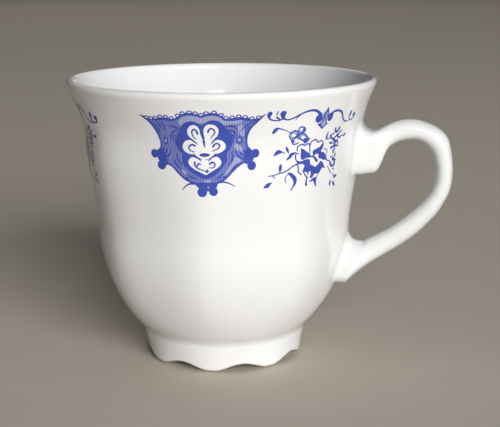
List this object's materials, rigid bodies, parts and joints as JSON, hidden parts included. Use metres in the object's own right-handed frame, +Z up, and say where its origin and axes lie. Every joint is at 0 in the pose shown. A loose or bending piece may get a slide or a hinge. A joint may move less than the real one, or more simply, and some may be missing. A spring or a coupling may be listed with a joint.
{
  "type": "teacup",
  "caption": "Footed porcelain teacup with a flared rim, softly panelled bowl, scalloped foot ring and ear-shaped handle on a square bracket.",
  "frame": {"origin": "middle of the whole plan, handle included, on the table under the foot", "axes": "+Z up along the bowl's axis, which stands at X = -10.65 mm; +X from the bowl towards the handle; +Y across the handle"},
  "size_m": [0.1072, 0.086, 0.0789],
  "materials": {
    "glazed_porcelain": "clear glossy glaze over white porcelain, with a cobalt blue printed pattern under it",
    "porcelain_slip": "fired white slip"
  },
  "bodies": {
    "root": {"bowl": "glazed_porcelain", "foot_ring": "glazed_porcelain", "handle": "glazed_porcelain", "foot_slip_seam": "porcelain_slip", "upper_slip_seam": "porcelain_slip", "lower_slip_seam": "porcelain_slip"}
  },
  "joints": []
}
